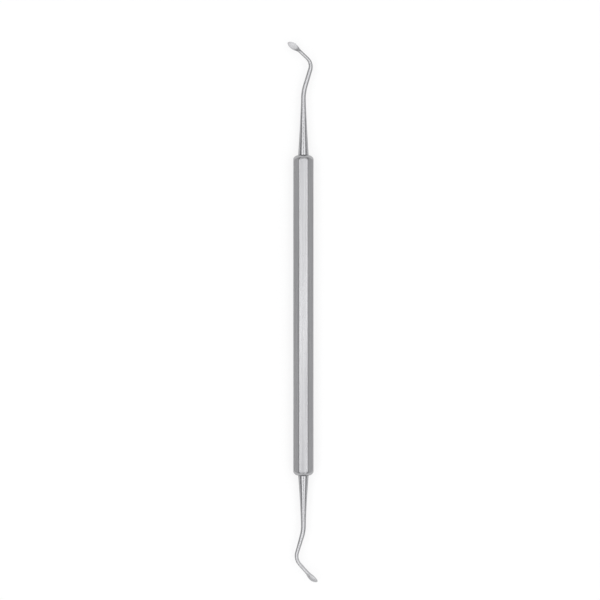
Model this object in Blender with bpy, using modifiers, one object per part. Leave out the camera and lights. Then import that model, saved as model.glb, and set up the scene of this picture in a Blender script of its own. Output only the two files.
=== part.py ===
"""Double-ended spoon excavator: a plain octagonal handle with a ground steel working end in each end.

The instrument lies on one flat of its handle, along Y, with the upper working end towards +Y.
The shanks bend in the horizontal plane, so both blades lie nearly level: the upper one shows its
face from above, and the lower one, its mirror twin, shows its back.
"""

import math
from dataclasses import dataclass

import bpy
from mathutils import Matrix, Vector

MM = 0.001

# The handle
HANDLE_LENGTH = 95 * MM
HANDLE_ACROSS_FLATS = 6 * MM
HANDLE_EDGE_BEVEL = 0.3 * MM
SHOULDER_LENGTH = 3.2 * MM
END_FACE_LEDGE = 0.12 * MM

# How each working end sits in the handle
TANG_DIAMETER = 2 * MM
TANG_LENGTH = 12 * MM
TANG_CHAMFER = 0.25 * MM
TANG_CLEARANCE = 0.03 * MM
BORE_RUNOUT = 0.6 * MM
SEAT_GAP = 0.05 * MM

# What both working ends share
CONE_BASE_DIAMETER = 3.06 * MM
CONE_BASE_CHAMFER = 0.06 * MM
RUN_LENGTH = 5.02 * MM
LAST_LEG_LENGTH = 2.95 * MM
BLADE_LENGTH = 4.45 * MM
BLADE_WIDTH = 2 * MM
BLADE_THICKNESS = 0.46 * MM
BLADE_RIM = 0.1 * MM
FACE_HOLLOW = 0.14 * MM
FACE_RUNOUT = 1.8 * MM
BLADE_SIDE_TURN = math.radians(16)
BLADE_DIVE = math.radians(20)
DIVE_LENGTH = 1.3 * MM
BLADE_CURL = math.radians(36)

# The upper working end
UPPER_CONE_LENGTH = 16.75 * MM
UPPER_TAPER_HOLLOW = 1.3
UPPER_SHANK_DIAMETER = 1.41 * MM
UPPER_RUN_DIAMETER = 1.38 * MM
UPPER_KNEE_DIAMETER = 1.3 * MM
UPPER_NECK_DIAMETER = 0.98 * MM
UPPER_FIRST_BEND = math.radians(16.8)
UPPER_FIRST_RADIUS = 13.3 * MM
UPPER_SECOND_BEND = math.radians(63.5)
UPPER_SECOND_RADIUS = 3.36 * MM
UPPER_ROLL = math.radians(0)

# The lower working end
LOWER_CONE_LENGTH = 14.85 * MM
LOWER_TAPER_HOLLOW = 1.5
LOWER_SHANK_DIAMETER = 1.46 * MM
LOWER_RUN_DIAMETER = 1.39 * MM
LOWER_KNEE_DIAMETER = 1.12 * MM
LOWER_NECK_DIAMETER = 1.09 * MM
LOWER_FIRST_BEND = math.radians(16.4)
LOWER_FIRST_RADIUS = 11.3 * MM
LOWER_SECOND_BEND = math.radians(58.2)
LOWER_SECOND_RADIUS = 3.67 * MM
LOWER_ROLL = math.radians(36)

# Where along its length a blade is widest, how gently it starts to swell, and how full its point is
WIDEST_AT = 0.58
NECK_EASE = 1.65
POINT_FULLNESS = 1.5

# Fineness of the facets
EDGE_BEVEL_SEGMENTS = 3
SECTION_SIDES = 32
TURNED_SIDES = 64
SHOULDER_STEPS = 10
CONE_RINGS = 9
FIRST_BEND_RINGS = 6
SECOND_BEND_RINGS = 12
STRAIGHT_RINGS = 2
BLADE_RINGS = 36

HANDLE_SIDES = 8
AXIS_HEIGHT = HANDLE_ACROSS_FLATS / 2
CUTTER_OVERSHOOT = 2 * MM
WELD_DISTANCE = 0.001 * MM
SOFT_EDGE = math.radians(30)


@dataclass
class EndSizes:
    """The sizes in which the two working ends differ."""

    cone_length: float
    taper_hollow: float
    shank_diameter: float
    run_diameter: float
    knee_diameter: float
    neck_diameter: float
    first_bend: float
    first_radius: float
    second_bend: float
    second_radius: float
    roll: float


UPPER_SIZES = EndSizes(
    cone_length=UPPER_CONE_LENGTH,
    taper_hollow=UPPER_TAPER_HOLLOW,
    shank_diameter=UPPER_SHANK_DIAMETER,
    run_diameter=UPPER_RUN_DIAMETER,
    knee_diameter=UPPER_KNEE_DIAMETER,
    neck_diameter=UPPER_NECK_DIAMETER,
    first_bend=UPPER_FIRST_BEND,
    first_radius=UPPER_FIRST_RADIUS,
    second_bend=UPPER_SECOND_BEND,
    second_radius=UPPER_SECOND_RADIUS,
    roll=UPPER_ROLL,
)
LOWER_SIZES = EndSizes(
    cone_length=LOWER_CONE_LENGTH,
    taper_hollow=LOWER_TAPER_HOLLOW,
    shank_diameter=LOWER_SHANK_DIAMETER,
    run_diameter=LOWER_RUN_DIAMETER,
    knee_diameter=LOWER_KNEE_DIAMETER,
    neck_diameter=LOWER_NECK_DIAMETER,
    first_bend=LOWER_FIRST_BEND,
    first_radius=LOWER_FIRST_RADIUS,
    second_bend=LOWER_SECOND_BEND,
    second_radius=LOWER_SECOND_RADIUS,
    roll=LOWER_ROLL,
)


@dataclass
class Stretch:
    """A length of round rod that turns and tapers steadily; a hollow over 1 makes the taper concave."""

    length: float
    turn: float
    rings: int
    far_diameter: float
    hollow: float = 1


def clear_scene():
    for old in list(bpy.data.objects):
        bpy.data.objects.remove(old, do_unlink=True)


def new_collection(name):
    collection = bpy.data.collections.new(name)
    bpy.context.scene.collection.children.link(collection)
    return collection


def move_to(made, collection):
    for old in list(made.users_collection):
        old.objects.unlink(made)
    collection.objects.link(made)


def hide_helper(made, helpers):
    move_to(made, helpers)
    made.hide_render = True
    made.display_type = "WIRE"


def satin_steel(name, colour, roughness):
    material = bpy.data.materials.new(name)
    material.use_nodes = True
    shader = material.node_tree.nodes["Principled BSDF"]
    shader.inputs["Base Color"].default_value = (*colour, 1)
    shader.inputs["Metallic"].default_value = 1
    shader.inputs["Roughness"].default_value = roughness
    return material


# The handle: octagonal bar, its ends turned to a blunt shoulder, with a blind hole in each end


def octagonal_bar(collection):
    """The bar stock, a little too long, lying along Y on one of its flats."""
    half_side_angle = math.pi / HANDLE_SIDES
    bpy.ops.mesh.primitive_cylinder_add(
        vertices=HANDLE_SIDES,
        radius=AXIS_HEIGHT / math.cos(half_side_angle),
        depth=HANDLE_LENGTH + 2 * CUTTER_OVERSHOOT,
    )
    bar = bpy.context.object
    bar.name = bar.data.name = "handle"
    lay_down = Matrix.Rotation(math.pi / 2, 4, "X") @ Matrix.Rotation(half_side_angle, 4, "Z")
    bar.data.transform(lay_down)
    bar.location = (0, 0, AXIS_HEIGHT)
    move_to(bar, collection)
    bevel = bar.modifiers.new("long_edges", "BEVEL")
    bevel.width = HANDLE_EDGE_BEVEL
    bevel.segments = EDGE_BEVEL_SEGMENTS
    bevel.limit_method = "ANGLE"
    bevel.angle_limit = SOFT_EDGE
    return bar


def shoulder_profile():
    """Half the turned outline, from one end's centre to the other's, as (radius, height)."""
    face_radius = CONE_BASE_DIAMETER / 2 + END_FACE_LEDGE
    outer_radius = AXIS_HEIGHT / math.cos(math.pi / HANDLE_SIDES) + HANDLE_EDGE_BEVEL
    top = [(0, HANDLE_LENGTH / 2)]
    for step in range(SHOULDER_STEPS + 1):
        angle = math.pi / 2 * step / SHOULDER_STEPS
        radius = face_radius + (outer_radius - face_radius) * math.sin(angle)
        top.append((radius, HANDLE_LENGTH / 2 - SHOULDER_LENGTH * (1 - math.cos(angle))))
    return top + [(radius, -height) for radius, height in reversed(top)]


def turned_envelope(helpers):
    """The round body whose blunt ends trim the bar."""
    outline = [(radius, 0, height) for radius, height in shoulder_profile()]
    mesh = bpy.data.meshes.new("turned_envelope")
    mesh.from_pydata(outline, [(i, i + 1) for i in range(len(outline) - 1)], [])
    envelope = bpy.data.objects.new("turned_envelope", mesh)
    screw = envelope.modifiers.new("turn", "SCREW")
    screw.steps = screw.render_steps = TURNED_SIDES
    screw.use_merge_vertices = True
    screw.merge_threshold = WELD_DISTANCE
    envelope.rotation_euler = (math.pi / 2, 0, 0)
    envelope.location = (0, 0, AXIS_HEIGHT)
    hide_helper(envelope, helpers)
    return envelope


def bore(name, side, helpers):
    """The cutter for one tang's blind hole: side is 1 at the upper end, -1 at the lower end."""
    depth = TANG_LENGTH - SEAT_GAP + BORE_RUNOUT
    bpy.ops.mesh.primitive_cylinder_add(
        vertices=SECTION_SIDES,
        radius=(TANG_DIAMETER / 2 + TANG_CLEARANCE) / math.cos(math.pi / SECTION_SIDES),
        depth=depth + CUTTER_OVERSHOOT,
        rotation=(math.pi / 2, 0, 0),
        location=(0, side * (HANDLE_LENGTH - depth + CUTTER_OVERSHOOT) / 2, AXIS_HEIGHT),
    )
    cutter = bpy.context.object
    cutter.name = name
    hide_helper(cutter, helpers)
    return cutter


def add_boolean(made, operation, other):
    boolean = made.modifiers.new(other.name, "BOOLEAN")
    boolean.operation = operation
    boolean.solver = "EXACT"
    boolean.object = other


def make_handle(collection, helpers, material):
    bar = octagonal_bar(collection)
    add_boolean(bar, "INTERSECT", turned_envelope(helpers))
    add_boolean(bar, "DIFFERENCE", bore("upper_bore", 1, helpers))
    add_boolean(bar, "DIFFERENCE", bore("lower_bore", -1, helpers))
    bar.data.materials.append(material)
    bar.data.shade_smooth()
    bar.data.set_sharp_from_angle(angle=SOFT_EDGE)


# The working ends: one lofted piece each, from the tang through the cone and both bends to the
# blade's point. Each is built along +Y with its face up, and turned or mirrored into place


def smooth(share):
    share = min(max(share, 0), 1)
    return share * share * (3 - 2 * share)


def ring(frame, width, height):
    """One loop of points. It starts half a side off the level, so that a blade's rim has two corners."""
    points = []
    for side in range(SECTION_SIDES):
        angle = 2 * math.pi * (side + 0.5) / SECTION_SIDES
        points.append(frame @ Vector((width / 2 * math.cos(angle), 0, height(angle))))
    return points


def round_ring(frame, diameter):
    return ring(frame, diameter, lambda angle: diameter / 2 * math.sin(angle))


def leaf(share, start, full):
    """A size that swells from the neck to the blade's widest place, then closes in a full point."""
    if share < WIDEST_AT:
        return start + (full - start) * math.sin(math.pi / 2 * share / WIDEST_AT) ** NECK_EASE
    past = (share - WIDEST_AT) / (1 - WIDEST_AT)
    return full * math.sqrt(1 - past**POINT_FULLNESS)


def blade_ring(frame, share, neck_diameter):
    """The section at a share of the blade's length: a full back, cut down from above to a hollow face."""
    top = neck_diameter / 2
    width = leaf(share, neck_diameter, BLADE_WIDTH)
    depth = leaf(share, top, BLADE_THICKNESS + FACE_HOLLOW - BLADE_RIM / 2)
    hollow = FACE_HOLLOW * width / BLADE_WIDTH
    uncut = max(1 - share * BLADE_LENGTH / FACE_RUNOUT, 0) ** 2

    def height(angle):
        lift = math.sin(angle)
        if lift < 0:
            return depth * lift
        face = BLADE_RIM / 2 - hollow * lift**2
        return min(top * lift, top * uncut + face * (1 - uncut))

    return ring(frame, width, height)


def walk(frame, length, turn=0.0, curl=0.0):
    """The frame one short step on: turn is to the left, and curl is upwards."""
    half = Matrix.Rotation(turn / 2, 4, "Z") @ Matrix.Rotation(curl / 2, 4, "X")
    return frame @ half @ Matrix.Translation((0, length, 0)) @ half


def tang_rings(spin):
    stations = (
        (-TANG_LENGTH, TANG_DIAMETER - 2 * TANG_CHAMFER),
        (-TANG_LENGTH + TANG_CHAMFER, TANG_DIAMETER),
        (0, TANG_DIAMETER),
        (0, CONE_BASE_DIAMETER - 2 * CONE_BASE_CHAMFER),
    )
    return [round_ring(Matrix.Translation((0, y, 0)) @ spin, diameter) for y, diameter in stations]


def shank_stretches(sizes):
    """The shank from the cone's base to the neck, as straight and bent stretches of round rod."""
    cone = sizes.cone_length - CONE_BASE_CHAMFER
    first_arc = sizes.first_bend * sizes.first_radius
    second_arc = sizes.second_bend * sizes.second_radius
    return (
        Stretch(cone, 0, CONE_RINGS, sizes.shank_diameter, sizes.taper_hollow),
        Stretch(first_arc, -sizes.first_bend, FIRST_BEND_RINGS, sizes.run_diameter),
        Stretch(RUN_LENGTH, 0, STRAIGHT_RINGS, sizes.knee_diameter),
        Stretch(second_arc, sizes.second_bend, SECOND_BEND_RINGS, sizes.neck_diameter),
        Stretch(LAST_LEG_LENGTH, 0, STRAIGHT_RINGS, sizes.neck_diameter),
    )


def shank_rings(sizes, spin):
    """The round rings from the cone's base to the neck, and the frame at the neck."""
    frame = Matrix.Translation((0, CONE_BASE_CHAMFER, 0))
    diameter = CONE_BASE_DIAMETER
    rings = [round_ring(frame @ spin, diameter)]
    for part in shank_stretches(sizes):
        for step in range(part.rings):
            frame = walk(frame, part.length / part.rings, part.turn / part.rings)
            left = (1 - (step + 1) / part.rings) ** part.hollow
            here = part.far_diameter + (diameter - part.far_diameter) * left
            rings.append(round_ring(frame @ spin, here))
        diameter = part.far_diameter
    return rings, frame


def blade_pitch(share):
    """How steeply the blade rises there: it dives behind the neck, then curls up to the point."""
    return BLADE_CURL * share - BLADE_DIVE * smooth(share * BLADE_LENGTH / DIVE_LENGTH)


def blade_rings(sizes, frame):
    """The rings from the neck to the point, closer together towards the point."""
    rings = []
    share = 0
    for step in range(1, BLADE_RINGS):
        before = share
        share = 1 - (1 - step / BLADE_RINGS) ** 2
        gained = share - before
        curl = blade_pitch(share) - blade_pitch(before)
        frame = walk(frame, BLADE_LENGTH * gained, BLADE_SIDE_TURN * gained, curl)
        rings.append(blade_ring(frame, share, sizes.neck_diameter))
    return rings


def loft(name, rings, collection):
    """A closed mesh over the rings, with a flat cap at each end."""
    points = [point for loop in rings for point in loop]
    faces = [tuple(range(SECTION_SIDES))]
    for row in range(len(rings) - 1):
        for side in range(SECTION_SIDES):
            along, following = row * SECTION_SIDES, (side + 1) % SECTION_SIDES
            near, far = along + side, along + following
            faces.append((near, near + SECTION_SIDES, far + SECTION_SIDES, far))
    last = (len(rings) - 1) * SECTION_SIDES
    faces.append(tuple(last + side for side in reversed(range(SECTION_SIDES))))
    mesh = bpy.data.meshes.new(name)
    mesh.from_pydata(points, [], faces)
    made = bpy.data.objects.new(name, mesh)
    collection.objects.link(made)
    return made


def make_working_end(name, sizes, end, collection, material):
    """end is 1 for the upper one, and -1 for the lower one, which is mirrored face down."""
    spin = Matrix.Rotation(-sizes.roll, 4, "Y")
    shank, neck = shank_rings(sizes, spin)
    rings = tang_rings(spin) + shank + blade_rings(sizes, neck @ spin)
    made = loft(name, rings, collection)
    if end < 0:
        made.data.transform(Matrix.Scale(-1, 4, (0, 0, 1)))
        made.data.flip_normals()
        made.rotation_euler = (0, 0, math.pi)
    made.location = (0, end * (HANDLE_LENGTH / 2 + SEAT_GAP), AXIS_HEIGHT)
    made.data.materials.append(material)
    made.data.shade_smooth()
    made.data.set_sharp_from_angle(angle=SOFT_EDGE)


def main():
    clear_scene()
    collection = new_collection("spoon_excavator")
    helpers = new_collection("cutters")
    handle_steel = satin_steel("handle_steel", (0.62, 0.62, 0.63), 0.32)
    end_steel = satin_steel("working_end_steel", (0.66, 0.66, 0.67), 0.28)
    make_handle(collection, helpers, handle_steel)
    make_working_end("upper_working_end", UPPER_SIZES, 1, collection, end_steel)
    make_working_end("lower_working_end", LOWER_SIZES, -1, collection, end_steel)


main()
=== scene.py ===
"""Double-ended spoon excavator: satin stainless steel, lying on one flat of its handle."""

import math

import bmesh
import bpy
from mathutils import Matrix, Vector


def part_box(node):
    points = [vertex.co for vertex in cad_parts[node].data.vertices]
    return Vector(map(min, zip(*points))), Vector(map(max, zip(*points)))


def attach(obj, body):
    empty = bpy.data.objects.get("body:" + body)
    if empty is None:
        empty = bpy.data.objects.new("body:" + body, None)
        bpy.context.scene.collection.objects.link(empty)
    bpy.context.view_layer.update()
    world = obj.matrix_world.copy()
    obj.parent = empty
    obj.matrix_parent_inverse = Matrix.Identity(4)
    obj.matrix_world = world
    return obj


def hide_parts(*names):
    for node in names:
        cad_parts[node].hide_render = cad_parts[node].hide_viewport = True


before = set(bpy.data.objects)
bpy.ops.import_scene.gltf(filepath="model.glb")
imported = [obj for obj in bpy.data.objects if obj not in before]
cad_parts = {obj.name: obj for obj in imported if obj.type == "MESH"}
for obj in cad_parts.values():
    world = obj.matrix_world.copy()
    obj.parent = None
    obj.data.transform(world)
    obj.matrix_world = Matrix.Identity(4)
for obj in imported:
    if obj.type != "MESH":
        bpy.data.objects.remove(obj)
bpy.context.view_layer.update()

# The handle
# One bar of octagonal stainless steel, satin-brushed along its length. Its ends are turned to a
# blunt shoulder, and a blind hole in each end takes the tang of a working end.
MM = 0.001
handle_low, handle_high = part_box("handle")
HANDLE_LENGTH = handle_high.y - handle_low.y
AXIS_HEIGHT = (handle_low.z + handle_high.z) / 2
HALF_ACROSS_FLATS = (handle_high.z - handle_low.z) / 2
HALF_SIDE = math.pi / 8
EDGE_RADIUS = 0.42 * MM
END_FACE_RADIUS = 1.65 * MM
ENVELOPE_RADIUS = 3.55 * MM
SHOULDER_LENGTH = 3.2 * MM
SHOULDER_BLEND = 0.1 * MM
BORE_RADIUS = 1.03 * MM
BORE_DEPTH = 12.55 * MM
FLAT_STEPS = 10
EDGE_STEPS = 6
SHOULDER_RINGS = 34
SHOULDER_SPAN = math.radians(66)
EDGE_CENTRE = (HALF_ACROSS_FLATS - EDGE_RADIUS) / math.cos(HALF_SIDE)
FLAT_REACH = math.atan(EDGE_CENTRE * math.sin(HALF_SIDE) / HALF_ACROSS_FLATS)
ROUNDING_SLACK = 1e-9
SHARP_FROM = math.radians(40)
BRUSH_HAIR = 0.09 * MM
BRUSH_STROKE = 0.5 * MM
STROKE_DEPTH = 0.006 * MM
LINE_DEPTH = 0.0035 * MM
TURNING_PITCH = 0.08 * MM
CLOUD_SIZE = 4 * MM
BRUSHED_DARK = (0.43, 0.43, 0.44)
BRUSHED_LIGHT = (0.51, 0.51, 0.52)
BRUSHED_EDGE_SHEEN = 0.7


def octagon_bearings():
    """The directions of a ring's points: closer together round each long edge than over a flat."""
    bearings = []
    for side in range(8):
        middle = side * 2 * HALF_SIDE
        edge = 2 * (HALF_SIDE - FLAT_REACH)
        bearings += [middle + FLAT_REACH * (2 * k / FLAT_STEPS - 1) for k in range(FLAT_STEPS)]
        bearings += [middle + FLAT_REACH + edge * k / EDGE_STEPS for k in range(EDGE_STEPS)]
    return bearings


def off_flat(bearing):
    """How far that direction is from the middle of the nearest flat."""
    return abs((bearing + HALF_SIDE) % (2 * HALF_SIDE) - HALF_SIDE)


def octagon_radius(bearing):
    """How far the bar's surface is from its axis in that direction, with the long edges rounded."""
    if off_flat(bearing) <= FLAT_REACH + ROUNDING_SLACK:
        return HALF_ACROSS_FLATS / math.cos(off_flat(bearing))
    off_edge = HALF_SIDE - off_flat(bearing)
    across = EDGE_CENTRE * math.sin(off_edge)
    return EDGE_CENTRE * math.cos(off_edge) + math.sqrt(EDGE_RADIUS**2 - across**2)


def smooth(share):
    """0 to 1 with a gentle start and end, and level outside."""
    share = min(max(share, 0), 1)
    return share * share * (3 - 2 * share)


def softened_least(a, b, width):
    """The smaller of two sizes, with the corner between them rounded over that width."""
    share = min(max(0.5 + (b - a) / (2 * width), 0), 1)
    return b + (a - b) * share - width * share * (1 - share)


def extruded_ring(bm, ring):
    """A copy of a ring of points, in the same order, joined to it by a band of faces."""
    edges = [bm.edges.get((ring[k - 1], ring[k])) for k in range(len(ring))]
    made = set(bmesh.ops.extrude_edge_only(bm, edges=edges)["geom"])
    return [next(e.other_vert(v) for e in v.link_edges if e.other_vert(v) in made) for v in ring]


def finished_piece(bm, name, material):
    """Points the mesh's faces outwards and makes it an object."""
    bmesh.ops.recalc_face_normals(bm, faces=bm.faces)
    mesh = bpy.data.meshes.new(name)
    bm.to_mesh(mesh)
    bm.free()
    mesh.materials.append(material)
    mesh.shade_smooth()
    mesh.set_sharp_from_angle(angle=SHARP_FROM)
    piece = bpy.data.objects.new(name, mesh)
    bpy.context.scene.collection.objects.link(piece)
    return piece


def handle_stations():
    """Each ring from one bore's floor to the other's, as (y, turned radius, is it in a bore)."""
    half = HANDLE_LENGTH / 2
    end = [(half - BORE_DEPTH, BORE_RADIUS, True), (half, BORE_RADIUS, True)]
    for k in range(SHOULDER_RINGS + 1):
        angle = SHOULDER_SPAN * k / SHOULDER_RINGS
        radius = END_FACE_RADIUS + (ENVELOPE_RADIUS - END_FACE_RADIUS) * math.sin(angle)
        end.append((half - SHOULDER_LENGTH * (1 - math.cos(angle)), radius, False))
    return end + [(-y, radius, in_bore) for y, radius, in_bore in reversed(end)]


def handle_mesh():
    """The bar. Its points carry how turned they are, how far along the outline, and how near an edge."""
    bearings = octagon_bearings()
    bm = bmesh.new()
    turned_mark, outline_mark, edge_mark = (
        bm.verts.layers.float.new(name) for name in ("turned", "outline", "long_edge")
    )
    bore_floor = bmesh.ops.create_circle(bm, cap_ends=True, segments=len(bearings), radius=BORE_RADIUS)
    ring = bore_floor["verts"]
    for number, (y, turned, in_bore) in enumerate(handle_stations()):
        if number:
            ring = extruded_ring(bm, ring)
        for point, bearing in zip(ring, bearings):
            octagon = octagon_radius(bearing)
            radius = turned if in_bore else softened_least(turned, octagon, SHOULDER_BLEND)
            point.co = (radius * math.sin(bearing), y, AXIS_HEIGHT + radius * math.cos(bearing))
            point[turned_mark] = smooth(0.5 + (octagon - turned) / (2 * SHOULDER_BLEND))
            point[outline_mark] = turned + HANDLE_LENGTH / 2 - abs(y)
            point[edge_mark] = smooth((off_flat(bearing) - FLAT_REACH) / (HALF_SIDE - FLAT_REACH))
    bmesh.ops.contextual_create(bm, geom=ring)
    return bm


def node(tree, kind, **settings):
    """A new shader node with its settings made."""
    made = tree.nodes.new(kind)
    for name, value in settings.items():
        setattr(made, name, value)
    return made


def mark(tree, name, output="Fac"):
    """The value or direction that a piece's points carry under that name."""
    return node(tree, "ShaderNodeAttribute", attribute_name=name).outputs[output]


def grain(tree, coordinates, size, stretch, detail=3.0):
    """Random grain of that size in metres, drawn out along the directions whose stretch is small."""
    mapping = node(tree, "ShaderNodeMapping")
    mapping.inputs["Scale"].default_value = stretch
    tree.links.new(coordinates, mapping.inputs["Vector"])
    pattern = node(tree, "ShaderNodeTexNoise")
    pattern.inputs["Scale"].default_value = 1 / size
    pattern.inputs["Detail"].default_value = detail
    tree.links.new(mapping.outputs["Vector"], pattern.inputs["Vector"])
    return pattern.outputs["Fac"]


def spread(tree, value, low, high, start=0.3, end=0.7):
    """The value, with start to end spread over low to high."""
    span = node(tree, "ShaderNodeMapRange")
    for name, number in (("From Min", start), ("From Max", end), ("To Min", low), ("To Max", high)):
        span.inputs[name].default_value = number
    tree.links.new(value, span.inputs["Value"])
    return span.outputs["Result"]


def sum_of(tree, first, second):
    add = node(tree, "ShaderNodeMath", operation="ADD")
    tree.links.new(first, add.inputs[0])
    tree.links.new(second, add.inputs[1])
    return add.outputs[0]


def product_of(tree, first, second):
    multiply = node(tree, "ShaderNodeMath", operation="MULTIPLY")
    tree.links.new(first, multiply.inputs[0])
    tree.links.new(second, multiply.inputs[1])
    return multiply.outputs[0]


def crossed(tree, share, first, second):
    """The first value where the share is 0, and the second where it is 1."""
    mix = node(tree, "ShaderNodeMix")
    tree.links.new(share, mix.inputs["Factor"])
    tree.links.new(first, mix.inputs["A"])
    tree.links.new(second, mix.inputs["B"])
    return mix.outputs["Result"]


def tinted(tree, shader, share, dark, light):
    """Colours the steel between a dark and a light grey."""
    mix = node(tree, "ShaderNodeMix", data_type="RGBA")
    tree.links.new(share, mix.inputs[0])
    mix.inputs[6].default_value = (*dark, 1)
    mix.inputs[7].default_value = (*light, 1)
    tree.links.new(mix.outputs[2], shader.inputs["Base Color"])


def bumped(tree, shader, heights):
    """Adds one bump for each (height, depth in metres), finest last."""
    normal = None
    for height, depth in heights:
        bump = node(tree, "ShaderNodeBump")
        bump.inputs["Distance"].default_value = depth
        tree.links.new(height, bump.inputs["Height"])
        if normal:
            tree.links.new(normal, bump.inputs["Normal"])
        normal = bump.outputs["Normal"]
    tree.links.new(normal, shader.inputs["Normal"])


def steel(name, edge_sheen):
    """A metallic material, with its node tree and shader. edge_sheen is how much it mirrors edge-on."""
    material = bpy.data.materials.new(name)
    material.use_nodes = True
    shader = material.node_tree.nodes["Principled BSDF"]
    shader.inputs["Metallic"].default_value = 1
    shader.inputs["Specular Tint"].default_value = (edge_sheen, edge_sheen, edge_sheen, 1)
    return material, material.node_tree, shader


def brushed_handle_steel():
    """Brush lines along the flats, turning rings on the shoulders, and edges polished by the hand."""
    material, tree, shader = steel("handle_steel", BRUSHED_EDGE_SHEEN)
    place = node(tree, "ShaderNodeTexCoord").outputs["Object"]
    hair = grain(tree, place, BRUSH_HAIR, (1, 0.008, 1))
    strokes = grain(tree, place, BRUSH_STROKE, (1, 0.015, 1), 2)
    clouds = grain(tree, place, CLOUD_SIZE, (1, 0.3, 1), 4)
    rings = node(tree, "ShaderNodeTexNoise", noise_dimensions="1D")
    rings.inputs["Scale"].default_value = 1 / TURNING_PITCH
    rings.inputs["Detail"].default_value = 2
    tree.links.new(mark(tree, "outline"), rings.inputs["W"])
    lines = crossed(tree, mark(tree, "turned"), hair, rings.outputs["Fac"])
    tinted(tree, shader, spread(tree, strokes, 0, 1), BRUSHED_DARK, BRUSHED_LIGHT)
    rough = sum_of(tree, spread(tree, lines, 0.22, 0.32), spread(tree, clouds, 0, 0.08))
    worn = spread(tree, mark(tree, "long_edge"), 0, -0.08, 0, 1)
    tree.links.new(sum_of(tree, rough, worn), shader.inputs["Roughness"])
    bumped(tree, shader, ((strokes, STROKE_DEPTH), (lines, LINE_DEPTH)))
    return material


handle = finished_piece(handle_mesh(), "octagonal_handle", brushed_handle_steel())
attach(handle, "root")
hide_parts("handle")

# The working ends
# Each is one piece of hardened stainless steel, ground round from a rod: a hidden tang, a hollow
# cone that seats on the handle, two bends, and a thin spoon with a hollow face and a full back.
TANG_RADIUS = 1.0 * MM
TANG_LENGTH = 12.0 * MM
TANG_CHAMFER = 0.25 * MM
SEAT_GAP = 0.05 * MM
CONE_BASE_RADIUS = 1.53 * MM
CONE_BASE_ROUND = 0.06 * MM
RUN_LENGTH = 5.02 * MM
LAST_LEG_LENGTH = 2.95 * MM
BLADE_LENGTH = 4.45 * MM
BLADE_WIDTH = 2.0 * MM
BLADE_THICKNESS = 0.46 * MM
BLADE_RIM = 0.1 * MM
FACE_HOLLOW = 0.14 * MM
FACE_RUNOUT = 1.8 * MM
FACE_EDGE_ROUND = 0.03 * MM
BLADE_SIDE_TURN = math.radians(16)
BLADE_DIVE = math.radians(20)
DIVE_LENGTH = 1.3 * MM
BLADE_CURL = math.radians(36)
WIDEST_AT = 0.58
NECK_EASE = 1.65
POINT_FULLNESS = 1.5
# A face height so far above the rod that the wheel takes nothing off.
NOT_GROUND = 1.0
SHANK_DULLNESS = 0.15
DULL_BLEND = 2.0 * MM
SECTION_POINTS = 96
CONE_RINGS = 60
FIRST_BEND_RINGS = 24
RUN_RINGS = 8
SECOND_BEND_RINGS = 44
LAST_LEG_RINGS = 6
BLADE_RINGS = 96
FINE_GRAIN = 0.13 * MM
FINE_DEPTH = 0.009 * MM
COARSE_GRAIN = 0.42 * MM
COARSE_DEPTH = 0.018 * MM
BLOTCH_SIZE = 0.24 * MM
HAZE_SIZE = 1.5 * MM
WHEEL_MARK = 0.07 * MM
GROUND_DARK = (0.42, 0.42, 0.43)
GROUND_LIGHT = (0.70, 0.70, 0.71)
GROUND_EDGE_SHEEN = 0.4


def leaf(share, start, full):
    """A size that swells from the neck to the blade's widest place, then closes in a full point."""
    if share < WIDEST_AT:
        return start + (full - start) * math.sin(math.pi / 2 * share / WIDEST_AT) ** NECK_EASE
    past = (share - WIDEST_AT) / (1 - WIDEST_AT)
    return full * math.sqrt(1 - past**POINT_FULLNESS)


def blade_pitch(share):
    """How steeply the blade rises there: it dives behind the neck, then curls up to the point."""
    return BLADE_CURL * share - BLADE_DIVE * smooth(share * BLADE_LENGTH / DIVE_LENGTH)


def blade_outline(share, neck):
    """The blade's width there, and the heights of its rod and of its ground face at an angle."""
    width = leaf(share, 2 * neck, BLADE_WIDTH)
    depth = leaf(share, neck, BLADE_THICKNESS + FACE_HOLLOW - BLADE_RIM / 2)
    hollow = FACE_HOLLOW * width / BLADE_WIDTH
    uncut = max(1 - share * BLADE_LENGTH / FACE_RUNOUT, 0) ** 2

    def heights(angle):
        lift = math.sin(angle)
        if lift < 0:
            return depth * lift, NOT_GROUND
        face = neck * uncut + (BLADE_RIM / 2 - hollow * lift**2) * (1 - uncut)
        return neck * lift, face

    return width, heights


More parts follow.
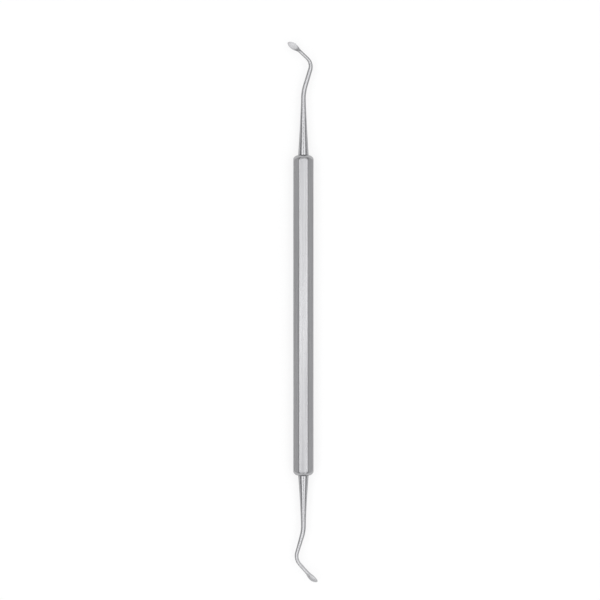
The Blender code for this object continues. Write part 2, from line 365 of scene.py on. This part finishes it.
class EndWalk:
    """Draws out one working end ring by ring, and marks where each point lay on the straight rod."""

    def __init__(self, roll):
        self.bm = bmesh.new()
        self.straight = self.bm.verts.layers.float_vector.new("straight")
        self.ground = self.bm.verts.layers.float.new("ground_face")
        self.dull = self.bm.verts.layers.float.new("dull")
        self.dullness = 0
        self.spin = Matrix.Rotation(-roll, 4, "Y")
        self.frame = Matrix.Identity(4)
        self.travelled = 0
        self.ring = None

    def step(self, length, turn=0.0, curl=0.0):
        """Moves on along the rod, with half of the turn before the move and half after it."""
        half = Matrix.Rotation(turn / 2, 4, "Z") @ Matrix.Rotation(curl / 2, 4, "X")
        self.frame = self.frame @ half @ Matrix.Translation((0, length, 0)) @ half
        self.travelled += length

    def draw_ring(self, width, heights):
        """heights gives the rod's height at an angle, and the height that the face is ground down to."""
        radius = width / 2
        if self.ring:
            self.ring = extruded_ring(self.bm, self.ring)
        else:
            made = bmesh.ops.create_circle(self.bm, cap_ends=True, segments=SECTION_POINTS, radius=radius)
            self.ring = made["verts"]
        for k, point in enumerate(self.ring):
            angle = 2 * math.pi * (k + 0.5) / SECTION_POINTS
            rod, face = heights(angle)
            local = Vector((radius * math.cos(angle), 0, softened_least(rod, face, FACE_EDGE_ROUND)))
            point.co = self.frame @ self.spin @ local
            point[self.straight] = (local.x, self.travelled, local.z)
            point[self.ground] = smooth(0.5 + (rod - face) / (2 * FACE_EDGE_ROUND))
            point[self.dull] = self.dullness

    def draw_round(self, radius):
        self.draw_ring(2 * radius, lambda angle: (radius * math.sin(angle), NOT_GROUND))

    def draw_rod(self, length, turn, rings, radii, hollow=1.0, dull=(SHANK_DULLNESS, SHANK_DULLNESS)):
        """Round rod that turns and tapers steadily. A hollow over 1 makes the taper concave.

        dull says how dull the steel is at the rod's start and end, from 0, satin, to 1, matt.
        """
        radius, far_radius = radii
        for k in range(1, rings + 1):
            self.step(length / rings, turn / rings)
            self.dullness = dull[0] + (dull[1] - dull[0]) * smooth(k / rings)
            self.draw_round(far_radius + (radius - far_radius) * (1 - k / rings) ** hollow)


def draw_tang_and_seat(walk):
    """From the tang's chamfered end to the cone's base, with its flat seat and rounded rim."""
    walk.step(-TANG_LENGTH)
    walk.draw_round(TANG_RADIUS - TANG_CHAMFER)
    walk.step(TANG_CHAMFER)
    walk.draw_round(TANG_RADIUS)
    walk.step(TANG_LENGTH - TANG_CHAMFER)
    walk.draw_round(TANG_RADIUS)
    walk.draw_round(CONE_BASE_RADIUS - CONE_BASE_ROUND)
    walk.step(CONE_BASE_ROUND)
    walk.draw_round(CONE_BASE_RADIUS)


def draw_blade(walk, neck):
    """The spoon, whose face looks up in the walk's own frame, with its rings closer at the point."""
    walk.frame = walk.frame @ walk.spin
    walk.spin = Matrix.Identity(4)
    share = 0
    for k in range(1, BLADE_RINGS):
        before = share
        share = 1 - (1 - k / BLADE_RINGS) ** 2
        gained = share - before
        walk.step(BLADE_LENGTH * gained, BLADE_SIDE_TURN * gained, blade_pitch(share) - blade_pitch(before))
        walk.dullness = max(walk.dullness, smooth(share * BLADE_LENGTH / DULL_BLEND))
        walk.draw_ring(*blade_outline(share, neck))
    bmesh.ops.contextual_create(walk.bm, geom=walk.ring)


def working_end_mesh(end, cone_length, hollow, radii, first_bend, second_bend, leg_dullness, roll):
    """end is 1 for the upper one, and -1 for the lower one, which is mirrored face down.

    A bend is its angle and its radius. leg_dullness is how dull the last leg is, before the blade.
    """
    shank, run, knee, neck = radii
    first_angle, first_radius = first_bend
    second_angle, second_radius = second_bend
    cone = (CONE_BASE_RADIUS, shank)
    to_leg = (SHANK_DULLNESS, leg_dullness)
    along_leg = (leg_dullness, leg_dullness)
    walk = EndWalk(roll)
    draw_tang_and_seat(walk)
    walk.draw_rod(cone_length - CONE_BASE_ROUND, 0, CONE_RINGS, cone, hollow, (0, SHANK_DULLNESS))
    walk.draw_rod(first_angle * first_radius, -first_angle, FIRST_BEND_RINGS, (shank, run))
    walk.draw_rod(RUN_LENGTH, 0, RUN_RINGS, (run, knee))
    walk.draw_rod(second_angle * second_radius, second_angle, SECOND_BEND_RINGS, (knee, neck), dull=to_leg)
    walk.draw_rod(LAST_LEG_LENGTH, 0, LAST_LEG_RINGS, (neck, neck), dull=along_leg)
    draw_blade(walk, neck)
    place = Matrix.Translation((0, end * (HANDLE_LENGTH / 2 + SEAT_GAP), AXIS_HEIGHT))
    if end < 0:
        place = place @ Matrix.Rotation(math.pi, 4, "Z") @ Matrix.Scale(-1, 4, (0, 0, 1))
    bmesh.ops.transform(walk.bm, matrix=place, verts=walk.bm.verts)
    return walk.bm


def ground_working_end_steel():
    """Satin grain along the rod, which gets duller and blotched towards the blade's back.

    The blade's face has the grinding wheel's marks across it.
    """
    material, tree, shader = steel("working_end_steel", GROUND_EDGE_SHEEN)
    place = mark(tree, "straight", "Vector")
    face = mark(tree, "ground_face")
    fine = grain(tree, place, FINE_GRAIN, (1, 0.3, 1))
    coarse = grain(tree, place, COARSE_GRAIN, (1, 0.35, 1), 4)
    haze = grain(tree, place, HAZE_SIZE, (1, 0.4, 1), 2)
    wheel = grain(tree, place, WHEEL_MARK, (0.05, 1, 0.05))
    dull_mark = mark(tree, "dull")
    blotches = grain(tree, place, BLOTCH_SIZE, (1, 0.5, 1))
    strength = spread(tree, dull_mark, 0.35, 0.9, 0, 1)
    mottle = product_of(tree, spread(tree, crossed(tree, face, blotches, wheel), -0.25, 0.25), strength)
    paleness = sum_of(tree, mottle, spread(tree, dull_mark, 0.2, 0.63, 0, 1))
    tinted(tree, shader, paleness, GROUND_DARK, GROUND_LIGHT)
    lines = crossed(tree, face, fine, wheel)
    rough = sum_of(tree, spread(tree, lines, 0.18, 0.27), spread(tree, haze, 0, 0.06))
    rough = sum_of(tree, rough, spread(tree, dull_mark, 0, 0.3, 0, 1))
    tree.links.new(rough, shader.inputs["Roughness"])
    coarse = product_of(tree, coarse, strength)
    lines = product_of(tree, lines, strength)
    bumped(tree, shader, ((coarse, COARSE_DEPTH), (lines, FINE_DEPTH)))
    return material


end_steel = ground_working_end_steel()
END_SHAPES = {
    "upper_working_end": dict(
        end=1,
        cone_length=16.75 * MM,
        hollow=1.3,
        radii=(0.705 * MM, 0.69 * MM, 0.65 * MM, 0.49 * MM),
        first_bend=(math.radians(16.8), 13.3 * MM),
        second_bend=(math.radians(63.5), 3.36 * MM),
        leg_dullness=0.3,
        roll=0,
    ),
    "lower_working_end": dict(
        end=-1,
        cone_length=14.85 * MM,
        hollow=1.5,
        radii=(0.73 * MM, 0.695 * MM, 0.56 * MM, 0.545 * MM),
        first_bend=(math.radians(16.4), 11.3 * MM),
        second_bend=(math.radians(58.2), 3.67 * MM),
        leg_dullness=0.9,
        roll=math.radians(36),
    ),
}
for cad_node, shape in END_SHAPES.items():
    piece = finished_piece(working_end_mesh(**shape), cad_node.replace("working_end", "spoon"), end_steel)
    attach(piece, "root")
    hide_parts(cad_node)

# The table
# A plain white sheet, far wider than the instrument. The camera and the steel see it glow almost
# white by itself. The rest of its white is lit paper, which keeps a soft shadow under the handle.
FLOOR_SIZE = 4.0
FLOOR_DROP = 0.02 * MM
PAPER_GREY = 0.9
PAPER_SHARE = 0.3
TABLE_WHITE = 0.745


def white_table_material():
    """Glow and a share of the paper's light for the camera and in mirrored rays, else plain paper."""
    material = bpy.data.materials.new("white_table")
    material.use_nodes = True
    tree = material.node_tree
    tree.nodes.clear()
    path = node(tree, "ShaderNodeLightPath")
    seen = sum_of(tree, path.outputs["Is Camera Ray"], path.outputs["Is Glossy Ray"])
    seen = sum_of(tree, seen, path.outputs["Is Transmission Ray"])
    paper = node(tree, "ShaderNodeBsdfDiffuse")
    tree.links.new(spread(tree, seen, PAPER_GREY, PAPER_GREY * PAPER_SHARE, 0, 1), paper.inputs["Color"])
    white = node(tree, "ShaderNodeEmission")
    tree.links.new(spread(tree, seen, 0, TABLE_WHITE, 0, 1), white.inputs["Strength"])
    both = node(tree, "ShaderNodeAddShader")
    tree.links.new(paper.outputs[0], both.inputs[0])
    tree.links.new(white.outputs[0], both.inputs[1])
    output = node(tree, "ShaderNodeOutputMaterial")
    tree.links.new(both.outputs[0], output.inputs["Surface"])
    return material


floor_bm = bmesh.new()
bmesh.ops.create_grid(floor_bm, x_segments=1, y_segments=1, size=FLOOR_SIZE / 2)
bmesh.ops.translate(floor_bm, vec=(0, 0, handle_low.z - FLOOR_DROP), verts=floor_bm.verts)
floor = finished_piece(floor_bm, "table_top", white_table_material())

# The light
# Long soft lamps hang along the instrument, bright ones beside a gap overhead and weaker ones lower
# down, with one more on the right. A short lamp closes the middle of the gap, and a broad one stands
# beyond each end. The room round them is an even grey.
LAMP_DISTANCE = 1.25
ROW_ENDS = (-1.5, 0.9)
# Each row is two angles from straight overhead, in degrees to the right, and a radiance.
ROWS = ((-46, -32, 0.72), (-32, -10, 1.74), (10, 32, 1.74), (32, 46, 0.72), (46, 60, 0.43))
GAP = (-10, 10)
GAP_LAMP_ENDS = (-0.13, 0.13)
GAP_LAMP_RADIANCE = 1.8
END_LAMP_DISTANCE = 1.6
END_LAMP_WIDTH = 1.2
END_LAMP_HEIGHT = 0.65
END_LAMP_RADIANCE = 0.72
ROOM_GREY = (0.31, 0.31, 0.316, 1)


def hang_lamp(place, turned, width, length, radiance):
    """A rectangular lamp whose power follows from its size, so that its radiance is the one given."""
    lamp = bpy.data.lights.new("soft_lamp", "AREA")
    lamp.shape = "RECTANGLE"
    lamp.size = width
    lamp.size_y = length
    lamp.energy = radiance * math.pi * width * length
    hung = bpy.data.objects.new("soft_lamp", lamp)
    hung.location = place
    hung.rotation_euler = turned
    bpy.context.scene.collection.objects.link(hung)


def hang_row(low, high, ends, radiance):
    """A lamp that spans those angles from straight overhead, and those places along the instrument."""
    middle = math.radians(low + high) / 2
    width = 2 * LAMP_DISTANCE * math.tan(math.radians(high - low) / 2)
    place = (LAMP_DISTANCE * math.sin(middle), sum(ends) / 2, LAMP_DISTANCE * math.cos(middle))
    hang_lamp(place, (0, middle, 0), width, ends[1] - ends[0], radiance)


for low, high, radiance in ROWS:
    hang_row(low, high, ROW_ENDS, radiance)
hang_row(*GAP, GAP_LAMP_ENDS, GAP_LAMP_RADIANCE)
for end in (-1, 1):
    place = (0, end * END_LAMP_DISTANCE, END_LAMP_HEIGHT / 2)
    hang_lamp(place, (-end * math.pi / 2, 0, 0), END_LAMP_WIDTH, END_LAMP_HEIGHT, END_LAMP_RADIANCE)

room = bpy.data.worlds.new("grey_room")
room.use_nodes = True
room.node_tree.nodes["Background"].inputs["Color"].default_value = ROOM_GREY
bpy.context.scene.world = room

# The camera
# It looks straight down, with the upper working end at the top of the picture. In the 600 pixel
# picture the tips stand at rows 42 and 582, and the handle's axis at column 303.
LENS = 150
SENSOR = 36
PICTURE = 600
TOP_ROW, BOTTOM_ROW, AXIS_COLUMN = 41.7, 582.2, 303.4

spoons_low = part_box("lower_working_end")[0].y
spoons_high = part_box("upper_working_end")[1].y
pixel = (spoons_high - spoons_low) / (BOTTOM_ROW - TOP_ROW)
camera_data = bpy.data.cameras.new("camera")
camera_data.lens = LENS
camera_data.sensor_width = SENSOR
camera = bpy.data.objects.new("camera", camera_data)
camera.location = (
    (PICTURE / 2 - AXIS_COLUMN) * pixel,
    spoons_high - (PICTURE / 2 - TOP_ROW) * pixel,
    AXIS_HEIGHT + PICTURE * pixel * LENS / SENSOR,
)
bpy.context.scene.collection.objects.link(camera)
bpy.context.scene.camera = camera
bpy.context.scene.view_settings.view_transform = "Standard"
